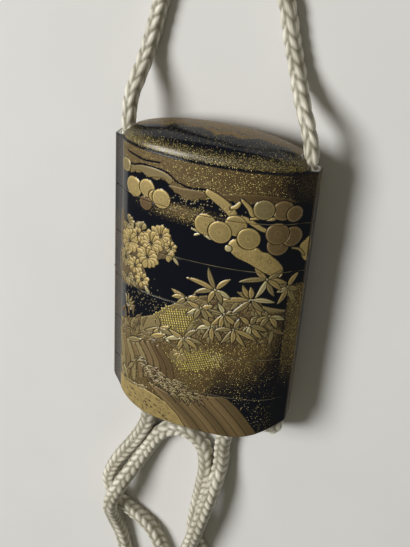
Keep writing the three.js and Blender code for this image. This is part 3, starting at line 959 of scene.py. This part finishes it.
def bamboo():
    # Stars of narrow leaves: (middle, [(angle, length)...])
    stars = [
        ((24.5, 7.2), [(58, 4.6), (-60, 5.2), (245, 5.4), (158, 4.6), (205, 3.0), (-20, 3.0)]),
        ((20.5, -1.5), [(200, 5.0), (240, 4.2), (-20, 4.4), (150, 3.6), (-60, 4.2)]),
        ((2.2, -1.8), [(215, 4.6), (250, 4.4), (165, 4.0), (-30, 4.2), (-62, 4.6), (25, 3.6)]),
        ((8.6, -2.4), [(230, 5.2), (262, 5.0), (-72, 5.4), (-35, 4.6), (170, 4.2), (120, 3.4), (20, 4.0)]),
        ((15.6, -4.6), [(235, 4.6), (-48, 5.4), (-20, 5.0), (270, 4.2), (60, 3.4), (140, 3.4)]),
        ((5.6, -6.8), [(242, 5.4), (205, 4.6), (-58, 5.6), (-85, 4.8), (150, 3.4)]),
        ((11.4, -6.6), [(238, 5.8), (-55, 6.0), (-25, 6.8), (195, 5.0), (268, 4.4), (70, 3.6)]),
        ((18.8, 9.7), [(-15, 5.4), (36, 4.6), (138, 4.4), (-66, 5.4), (246, 6.2), (192, 7.2), (-40, 5.0)]),
        ((15.2, 3.3), [(-58, 5.6), (-42, 5.0), (-6, 6.2), (154, 4.0), (122, 4.6), (96, 3.6), (226, 6.6),
                       (193, 8.4)]),
        ((5.7, 4.6), [(-24, 4.4), (202, 6.0), (46, 5.4), (168, 8.2), (110, 6.4), (250, 4.6), (-62, 4.2)]),
        ((-2.0, 0.2), [(160, 4.6), (190, 4.2), (220, 3.4), (20, 3.4)]),
        ((-9.8, -12.0), [(209, 5.0), (24, 3.8), (95, 3.2), (-45, 5.2), (-15, 4.6), (250, 4.0)]),
        ((-2.2, -12.8), [(44, 5.2), (201, 5.8), (-4, 5.4), (254, 4.6), (161, 4.6), (-62, 4.6), (-30, 4.8)]),
    ]
    # the leaves behind, in duller powder
    for spot in rng.uniform([0.0, -9.5], [22.0, 3.2], (110, 2)):
        angle = rng.choice([205, 235, 265, -70, -45, -20]) + rng.uniform(-12, 12)
        blade(spot, angle, rng.uniform(3.2, 5.2), 1.0, rng.choice(["bronze", "olive", "brown", "olive"]),
              rim=0.2, rib=0.25, gap=0.6, rise=0.5)
    for number, (middle, leaves) in enumerate(stars):
        for place, (angle, length) in enumerate(leaves):
            colour = ["gold", "olive", "gold", "olive", "pale", "olive", "gold"][(number * 2 + place) % 7]
            blade(awayFrom(middle, angle, 0.45), angle, length - 0.3, 1.3, colour, fullest=0.42,
                  bend=0.05 * (-1) ** place, rim=0.2, dome=0.15, gap=0.95)
        disc(middle, 0.28, "pale", gap=0.0)
    blade((-12.2, -15.6), 25, 5.2, 1.5, "gold", rim=0.2, dome=0.4)
    blade((-20.6, -20.4), 23, 5.8, 1.6, "olive", rim=0.2, dome=0.3)


def mosaic(middle, halfS, halfY, angle, pitch, colour, falloff=1.0):
    # Little squares of cut leaf set in rows, fewer of them towards the edge
    turn = np.radians(angle)
    steps = int(max(halfS, halfY) / pitch) + 1
    for across in range(-steps, steps + 1):
        for up in range(-steps, steps + 1):
            u, v = across * pitch, up * pitch
            far = (u / halfS) ** 2 + (v / halfY) ** 2
            if far > 1 or rng.random() < (far - 0.35) * falloff:
                continue
            spot = (middle[0] + u * np.cos(turn) - v * np.sin(turn),
                    middle[1] + u * np.sin(turn) + v * np.cos(turn))

            def distanceOf(s, y, spot=spot):
                du = (s - spot[0]) * np.cos(turn) + (y - spot[1]) * np.sin(turn)
                dv = (y - spot[1]) * np.cos(turn) - (s - spot[0]) * np.sin(turn)
                return np.maximum(np.abs(du), np.abs(dv)) - pitch * 0.34
            shade = rng.uniform(0.8, 1.2)
            lay(around(spot, 1.2), distanceOf, colour, gap=0.35, rise=0.8,
                tone=lambda s, y, away, shade=shade: shade)


def brightPatches():
    blob([(-6.2, -19.6), (-4.2, -17.0), (-1.0, -16.4), (2.6, -15.2), (5.4, -15.4), (6.4, -17.2),
          (4.8, -19.8), (1.4, -22.2), (-1.8, -23.2), (-4.4, -22.4)],
         "olive", cover=0.62, rise=0.4, gap=0.0, flakes=0.9,
         tone=lambda s, y, away: 0.82 + 0.3 * np.sin(s * 8.5 + y * 2) * np.sin(y * 9.1 - s * 2))
    mosaic((2.4, -19.0), 8.4, 3.9, 24, 0.68, "bright", falloff=1.5)
    for angle, length in [(170, 3.0), (205, 3.0), (240, 3.2), (275, 3.0), (310, 3.0), (135, 2.6),
                          (100, 2.4)]:
        blade((-2.4, -18.2), angle, length, 1.0, "gold", rim=0.2, gap=0.5)


def stream():
    # A fall of water down the left: long bands side by side, each a dark gap from the next
    tops = [(-24.4, -19.0), (-22.6, -20.0), (-20.8, -21.2), (-18.6, -21.0), (-17.0, -20.2), (-15.2, -19.0),
            (-13.2, -18.4), (-11.6, -18.0), (-9.9, -18.6)]
    feet = [(-22.8, -34.5), (-20.4, -34.0), (-17.8, -33.0), (-15.2, -31.2), (-13.6, -29.6), (-11.4, -28.6),
            (-9.4, -28.2), (-7.2, -28.4), (-4.9, -28.2)]
    colours = ["olive", "bronze"] * 3 + ["bronze", "brown", "brown"]

    def fine(s, y, away):
        return 0.95 + 0.24 * np.cos((away + 1) * 2 * np.pi / 0.5)
    for top, foot, colour in zip(tops, feet, colours):
        middle = ((top[0] + foot[0]) / 2 + 0.9, (top[1] + foot[1]) / 2 + 0.6)
        stroke([top, middle, foot], 1.75, colour, taper=0.25, tone=fine, rim=0.15, gap=0.6)
    blade((-24.6, -28.0), -62, 6.5, 1.6, "olive", rim=0.3)
    blade((-22.8, -30.5), -58, 5.2, 1.4, "olive", rim=0.3)
    blade((-20.4, -30.8), 55, 4.2, 1.1, "olive", rim=0.3)


def foam():
    # Curls of broken water at the foot of the fall: small crescents, the far ones laid first
    count = 120
    along = rng.uniform(0, 1, count)
    s = -18.0 + 21.5 * along
    y = -25.0 - 6.4 * along - 4.6 * rng.uniform(0, 1, count) * np.sin(np.pi * np.clip(along, 0.12, 0.9))
    for spot in np.stack([s, y], -1)[np.argsort(-y)]:
        blade((spot[0], spot[1]), rng.uniform(-60, 25), rng.uniform(2.2, 4.0), rng.uniform(0.6, 0.85),
              rng.choice(["olive", "bronze", "olive", "olive"]), bend=rng.uniform(0.1, 0.3), rim=0.1,
              gap=0.75, rib=0.0, rise=0.7)


def shore():
    # Gold ground at the lower left, with a few dark flecks
    outline = [(-24.4, -34.6), (-20.5, -35.4), (-16.9, -34.4), (-11.2, -35.3), (-6.5, -36.8),
               (-3.0, -39.7), (0.4, -44.5), (-10, -47), (-24.6, -46)]
    lay((-24.6, 1, -46, -33), lambda s, y: areaDistance(s, y, outline), "gold", rise=0.6, rim=0.25,
        flakes=0.5, tone=lambda s, y, away: 0.92 + 0.1 * np.sin(s * 1.3 + y) * np.sin(y * 1.7 - s * 0.6))
    for spot in [(-18.9, -37.2), (-17.4, -38.4), (-13.8, -39.3), (-13.1, -40.4), (-11.5, -40.3),
                 (-10.3, -39.2), (-8.6, -41.2), (-7.4, -41.8), (-6.3, -42.6), (-19.8, -40.2),
                 (-20.9, -38.0), (-12.2, -38.4)]:
        stroke([spot, (spot[0] + 0.45, spot[1] - 0.25)], 0.42, "brown", cover=0.0, rise=0.0, gap=0.0)
    for spot in rng.uniform([-20.0, -43.0], [-5.0, -36.6], (70, 2)):
        turn = rng.uniform(0, np.pi)
        stroke([spot, (spot[0] + 0.5 * np.cos(turn), spot[1] + 0.5 * np.sin(turn))], 0.14,
               "brown", cover=0.45, rise=0.3, gap=0.0)
    blade((-22.4, -35.2), 4, 5.6, 1.3, "olive", gap=0.6)
    blade((-17.0, -35.0), 12, 4.4, 1.1, "olive", gap=0.6)


def currents():
    # Broad bands of current that sweep down to the right: shares of the way between two curves
    left = line([(-46, 1.5), (-43.5, 0.2), (-39.7, -3.0), (-36.8, -6.5), (-33.2, -11.3), (-31.0, -13.5)])
    right = line([(-46, 23.0), (-41.7, 20.6), (-36.6, 17.3), (-32.7, 14.3), (-30.2, 11.4), (-29.6, 9.6)])

    def share(s, y):
        low, high = left(y), right(y)
        return (s - low) / (high - low), high - low

    def distanceOf(s, y):
        part, reach = share(s, y)
        top = y - np.interp(s, [-14, -6, 0, 6, 10], [-31.5, -33.2, -31.8, -30.4, -29.8])
        return np.maximum(np.maximum(-part, part - 1) * reach * 0.8, top)

    def tone(s, y, away):
        part, _ = share(s, y)
        band = np.clip(part, 0, 1) ** 0.9 * 8.0
        groove = np.abs(band - np.round(band))
        fine = 0.17 * np.cos(band * 2 * np.pi * 6)
        warm = 0.86 + 0.22 * np.sin(band * 2.2 + 0.6)
        return (warm + fine) * (0.22 + 0.78 * smoothStep(groove, 0.02, 0.08))
    lay((-15, 23.5, -46, -29), distanceOf, "bronze", rim=0.25, tone=tone, rise=0.8)


def ears():
    # Right ear: a cloud of powder low down and a leaf at its outer edge. Left ear: soft smudges, and along
    # the left crease a pale line that is partly worn gold and partly a painted highlight
    def cloud(s, y):
        rows = 0.62 * (1 - smoothStep(y, 7.0, 8.2)) * smoothStep(y, -27, -12)
        return rows * smoothStep(s, 24.6, 25.4)
    sprinkle((24.5, 29.6, -30, 9), cloud)
    sprinkle((24.5, 29.6, -30, 9), lambda s, y: 0.6 * cloud(s, y), "flakes")
    sprinkle((24.5, 29.6, 26, 39.2), lambda s, y: 0.3 * smoothStep(y, 29, 35), "dust")
    blob([(26.6, 19.2), (28.9, 21.6), (29.2, 17.2), (28.6, 14.6), (27.2, 16.4)], "gold", rim=0.2)
    stroke([(24.4, 18.6), (26.4, 18.0), (28.0, 16.2)], 0.5, "gold", taper=0.4)
    bands = line([(-45, 0.55), (-36, 0.75), (-30, 0.4), (-25, 0.7), (-18, 0.5), (-14, 0.75), (-8, 0.45),
                  (-4, 0.7), (0, 0.62), (4, 0.3), (8, 0.7), (14, 0.62), (18, 0.3), (22, 0.08), (29, 0.1),
                  (32, 0.45), (39, 0.5)])
    sprinkle((-29.6, -24.6, -45, 39.2), lambda s, y: 0.44 * bands(y + 0.6 * np.sin(s * 1.7)))
    # pale line down the left crease: worn gold, drawn paler as a painted highlight on the rounded edge
    stroke([(-24.62, -36.5), (-24.62, 38.4)], 0.3, "grey", cover=0.5, rise=0.2, gap=0.0)
    for side in (-1, 1):
        low, high = sorted([side * 29.1, side * 28.7])
        rows, cols = window(low, high, -50, 50)
        canvas["colour"][rows, cols] = inkOf("brown")
        canvas["cover"][rows, cols] = 0.35


def back():
    # The back, which is out of sight, carries the same scene on more plainly: clouds of powder above
    # and below, and a few broad leaves
    def clouds(s, y):
        high = smoothStep(y, 30 + 1.6 * np.sin(s * 0.23) + 0.5 * np.sin(s * 0.9), 33)
        low = 1 - smoothStep(y, -24, -12 + 3 * np.sin(s * 0.16) + 0.6 * np.sin(s * 0.8))
        return 0.9 * np.maximum(high, low) * smoothStep(np.abs(s), 29.4, 33)
    for side in (-1, 1):
        box = (*sorted([side * 29.4, side * 70]), -50, 39.2)
        sprinkle(box, clouds)
        sprinkle(box, lambda s, y: 0.3 * clouds(s, y), "flakes")
    for spot, start, length in [((40, -9), 40, 9), ((47, -14), 15, 10.5), ((37, 0), 65, 8),
                                ((55, -17), 30, 9)]:
        for turn in (0, 62, 118, 205, 290):
            blade((-spot[0], spot[1]), start + turn, length, 3.2, "gold", rim=0.15, rib=0.2, gap=0.6)
    for spot, radius, colour in [((44, 27), 4.6, "gold"), ((37, 24), 4.0, "olive"),
                                 ((51, 23.5), 3.8, "bronze"), ((43.5, 19.6), 3.4, "gold")]:
        disc(spot, radius, colour, rim=0.25, rise=0.8, gap=0.8)


def shoulder():
    # The lid's upper edge and the ledge at the foot of its dome are bare lacquer
    for layer in ("cover", "dust", "flakes"):
        canvas[layer] *= 1 - smoothStep(canvas["y"], shoulderY - 0.45, shoulderY - 0.2)


def joints():
    # Along the lower edge of each tier: pale over the black, partly worn lacquer and partly a painted
    # highlight on the rounded edge, and dark over the gold
    for number in range(1, 6):
        rows = slice(number * tierRows, number * tierRows + roundRows + 1)
        wearAndHighlight = 0.62 + 0.3 * np.sin(columnS * 0.9 + number) * np.sin(columnS * 0.37)
        wearAndHighlight -= 0.5 * (np.abs(columnS) > 25)
        black = 1 - canvas["cover"][rows]
        canvas["colour"][rows] *= 1 - 0.45 * canvas["cover"][rows, :, None]
        # pale grey on the black: wear and a painted highlight on the rounded edge
        pale = inkOf("grey") - canvas["colour"][rows]
        canvas["colour"][rows] += pale * (black > 0.7)[..., None]
        canvas["cover"][rows] = np.maximum(canvas["cover"][rows], np.clip(wearAndHighlight, 0, 1))


sky()
cloudBanks()
hillGround()
pines()
trunk()
flowers()
scatter((-12.5, -5.0), 3.6, 3.0, 70, 0.12, "grey")
scatter((-16.0, -4.5), 3.2, 1.6, 30, 0.12, "grey")
scatter((0.5, 27.6), 4.6, 1.1, 80, 0.14, "grey")
blob([(-11.4, -9.2), (-8.0, -5.2), (-4.6, -3.0), (-0.6, -2.6), (3.0, -4.6), (2.0, -8.6),
      (-2.6, -11.2), (-7.6, -11.6)], "olive", cover=0.75, rise=0.3, gap=0.0)
mosaic((-4.0, -7.2), 7.6, 4.4, 14, 0.74, "bright")
brightPatches()
scatter((8.2, -18.2), 2.0, 1.6, 46, 0.17, "pale")
scatter((15.6, -37.0), 3.4, 4.6, 90, 0.13, "silver")
stream()
bamboo()
currents()
foam()
shore()
ears()
back()
shoulder()
joints()
print("picture done")


# Top of the lid: a black middle between a gold front edge and a cloud along the back
domeLook = {
    "edge": "6f6a3c",
    "cloud": "84693f",
}
domeTurns = np.linspace(0, np.pi / 2, body["domeRows"])[:-1]
domeSpots = domeLoop()[None] * np.cos(domeTurns)[:, None, None]
outward = np.cos(domeTurns)[:, None] * np.ones(columns)
domeX, domeD = domeSpots[..., 0], domeSpots[..., 1]
cloudEdge = (3.6 + 0.9 * np.sin(domeX * 0.3 + 0.6) + 0.5 * np.sin(domeX * 0.9 + 1)
             + 0.2 * np.sin(domeX * 2.3) - 0.006 * domeX**2)
band = np.exp(-((domeD - cloudEdge + 2.9 + 0.5 * np.sin(domeX * 0.5)) / 0.5) ** 2)
backCloud = smoothStep(cloudEdge - domeD, 0, 1.4) * (1 - 0.8 * band)
rim = smoothStep(outward, 0.8, 1.0) * smoothStep(domeD, -1.0, 2.0)
ledge = smoothStep(domeTurns, 0.03, 0.07)[:, None]
clouded = (backCloud > rim)[..., None]
domeColour = np.where(clouded, linear(domeLook["cloud"])[:3], linear(domeLook["edge"])[:3])
domeCover = np.maximum(0.12 * rim, 0.5 * backCloud) * ledge
domePicture = {
    "gold": np.concatenate([domeColour, domeCover[..., None]], -1),
    "dust": np.maximum(0.8 * backCloud, 0.36 * rim) * ledge,
    "flakes": (np.maximum(0.8 * backCloud, 0.75 * rim) + 0.1) * ledge,
}
basePicture = {"gold": np.zeros(4), "dust": 0.15, "flakes": 0.2}
plainPicture = {"gold": np.zeros(4), "dust": 0.0, "flakes": 0.3}
canvasRows = []
for place in range(6):
    rows = slice((5 - place) * tierRows, (6 - place) * tierRows)
    gold = np.concatenate([canvas["colour"][rows], canvas["cover"][rows, :, None]], -1)
    canvasRows.append((*wallParts[place], {"gold": gold, "dust": canvas["dust"][rows],
                                           "flakes": canvas["flakes"][rows], "lift": canvas["lift"][rows]}))


# Tiers: meshes

def flatRing(loop, y):
    # A ring of points at height y (one number or one for each column), laid down on its back
    return np.stack([loop[:, 0], np.broadcast_to(y, columns), np.maximum(middleZ + loop[:, 1], 0)], -1)


def channelCutter():
    sides, reach, radius = body["channelSides"], body["channelReach"], body["channelRadius"]
    bars = []
    turn = np.linspace(0, 2 * np.pi, sides, endpoint=False)
    z = middleZ + radius * np.cos(turn)
    for x in (-body["channelX"], body["channelX"]):
        rings = [np.stack([x + radius * np.sin(turn), np.full(sides, y), z], -1) for y in (-reach, reach)]
        bars.append(np.vstack([*rings, [[x, -reach, middleZ], [x, reach, middleZ]]]))
    faces = tubeFaces(2, sides)
    shifted = [[corner + len(bars[0]) for corner in face] for face in faces]
    return newObject("channel_cutter", np.vstack(bars), faces + shifted, lacquer)


def withChannels(obj, cutter):
    cut = obj.modifiers.new("channels", "BOOLEAN")
    cut.operation = "DIFFERENCE"
    cut.solver = "MANIFOLD"
    cut.object = cutter
    bpy.context.view_layer.update()
    shaped = obj.evaluated_get(bpy.context.evaluated_depsgraph_get())
    mesh = bpy.data.meshes.new_from_object(shaped)
    obj.modifiers.clear()
    old = obj.data
    obj.data = mesh
    bpy.data.meshes.remove(old)
    mesh.name = obj.name
    # the many-sided faces round a channel's mouth become triangles here, so that none folds over
    work = bmesh.new()
    work.from_mesh(mesh)
    bmesh.ops.triangulate(work, faces=[face for face in work.faces if len(face.verts) > 4])
    work.to_mesh(mesh)
    work.free()
    mesh.shade_smooth()
    mesh.set_sharp_from_angle(angle=np.radians(body["sharpDegrees"]))


def makeTier(place, cutter):
    name = tierNames[place]
    y, inset, painting = canvasRows[place]
    rings = [flatRing(columnSpot - columnOut * drawnIn + columnOut * lift[:, None], height)
             for drawnIn, lift, height in zip(inset, painting["lift"], y)]
    bottom = y[0].min() if place < 5 else tierBoxes[name][0][1]
    socket = innerLoop(body["socketInset"], body["socketHalfLength"])
    low, high = [], []
    if place == 5:
        shares = np.sin(np.linspace(np.pi / 2 * 0.985, 0, body["baseRings"]))[1:-1]
        for share in shares[::-1]:
            loop = (columnSpot - columnOut * inset[0]) * share
            edge = baseMiddleY + baseEdge(loop[:, 0]) - body["baseBulge"] * (1 - share**2)
            low.append(flatRing(loop, edge))
        lowPole = [0, bottom, middleZ]
    else:
        ceiling = bottom + body["riserHeight"] + body["seam"]
        lowPole = [0, ceiling, middleZ]
        if place == 0:
            ceiling = shoulderY - body["ceilingWall"]
            domeInside = body["domeHeight"] - body["ceilingWall"] / 2
            lowPole = [0, ceiling + domeInside, middleZ]
            for turn in np.radians(body["hollowTurns"]):
                low.append(flatRing(socket * np.cos(turn), ceiling + domeInside * np.sin(turn)))
        else:
            low.append(flatRing(socket * 0.5, ceiling))
        low += [flatRing(socket, ceiling), flatRing(socket, bottom)]
    if place == 0:
        dome = domeLoop()
        for turn in domeTurns:
            high.append(flatRing(dome * np.cos(turn), shoulderY + body["domeHeight"] * np.sin(turn)))
        highPole = [0, shoulderY + body["domeHeight"], middleZ]
    else:
        rimFoot = y[-1].max()
        riser = innerLoop(body["riserInset"], body["riserHalfLength"])
        inside = innerLoop(body["insideInset"], body["insideHalfLength"])
        rim = rimFoot + body["riserHeight"]
        floor = bottom + body["riserHeight"] + body["seam"] + body["floorWall"]
        if place == 5:
            floor = baseMiddleY + body["baseFloor"]
        lip = body["lip"]
        draw = lip / 20
        high = [flatRing(loop, height) for loop, height in [
            (riser, rimFoot), (riser, rim - lip), (riser * (1 - draw), rim), (inside * (1 + draw), rim),
            (inside, rim - lip), (inside, floor), (inside * 0.5, floor)]]
        highPole = [0, floor, middleZ]
    before, after = len(low), len(high)
    allRings = low + rings + high
    points = np.vstack([*allRings, [lowPole], [highPole]])

    def spread(values, lowValue, highValues):
        # the wall's values, between those of the rows below it and those of the rows above it
        width = values.shape[2:]
        lowRows = np.broadcast_to(np.asarray(lowValue, float), (before, columns, *width))
        highRows = np.broadcast_to(np.asarray(highValues, float), (after, columns, *width))
        rows = np.concatenate([lowRows, values, highRows]).reshape(-1, *width)
        return np.concatenate([rows, rows[:1], rows[-1:]])

    above = domePicture if place == 0 else plainPicture
    below = basePicture if place == 5 else plainPicture
    attributes = {label: (kind, spread(painting[part], below[part], above[part])) for label, kind, part in [
        ("picture", "FLOAT_COLOR", "gold"), ("dust", "FLOAT", "dust"), ("flakes", "FLOAT", "flakes")]}
    tier = newObject("lacquer_" + name, points, tubeFaces(len(allRings), columns), lacquer, attributes)
    withChannels(tier, cutter)
    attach(tier, "root")
    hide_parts(name)


cutter = channelCutter()
for place in range(6):
    makeTier(place, cutter)
bpy.data.objects.remove(cutter)
print("tiers done")


# Floor and light

studio = {
    "floor": ("d4d2ce", "dddcd9"),
    "floorHalf": 1.6,
    "sky": "d3cfbb",
    "skyStrength": 0.15,
    "window": {"place": (-0.92, 0.28, 1.15), "size": 0.74, "power": 25.0, "colour": "fcfcfc"},
    "fill": {"place": (0.5, 1.1, 1.2), "size": 1.4, "power": 2.2, "colour": "f4efdf"},
}


def makeFloor():
    # Smooth matt paper board with a faint mottle
    material = newMaterial("matt_paper_board")
    tree = material.node_tree
    place = addNode(tree, "TexCoord").outputs["Object"]
    mottle = addNode(tree, "TexNoise", {"Vector": place, "Scale": 25.0, "Detail": 4.0})
    dark, light = (linear(shade) for shade in studio["floor"])
    colour = addNode(tree, "Mix", {"Factor": mottle.outputs["Fac"], "A": dark, "B": light},
                     data_type="RGBA")
    shader = addNode(tree, "BsdfPrincipled", {"Base Color": colour, "Roughness": 0.85})
    addNode(tree, "OutputMaterial", {"Surface": shader})
    half = studio["floorHalf"] / mm
    corners = np.array([[-half, -half, 0], [half, -half, 0], [half, half, 0], [-half, half, 0]])
    floor = newObject("floor", corners, [[0, 1, 2, 3]], material)


def makeLight(name, look):
    data = bpy.data.lights.new(name, "AREA")
    data.shape = "DISK"
    data.size = look["size"]
    data.energy = look["power"]
    data.color = linear(look["colour"])[:3]
    light = bpy.data.objects.new(name, data)
    light.location = look["place"]
    aim = np.array([0.0, 0.0, 0.01]) - np.array(look["place"])
    light.rotation_euler = Vector(aim.tolist()).to_track_quat("-Z", "Y").to_euler()
    bpy.context.scene.collection.objects.link(light)


makeFloor()
makeLight("window", studio["window"])
makeLight("fill", studio["fill"])
world = bpy.data.worlds.new("studio")
world.use_nodes = True
background = world.node_tree.nodes["Background"]
background.inputs["Color"].default_value = linear(studio["sky"])
background.inputs["Strength"].default_value = studio["skyStrength"]
bpy.context.scene.world = world
bpy.context.scene.view_settings.view_transform = "Standard"
print("studio done")
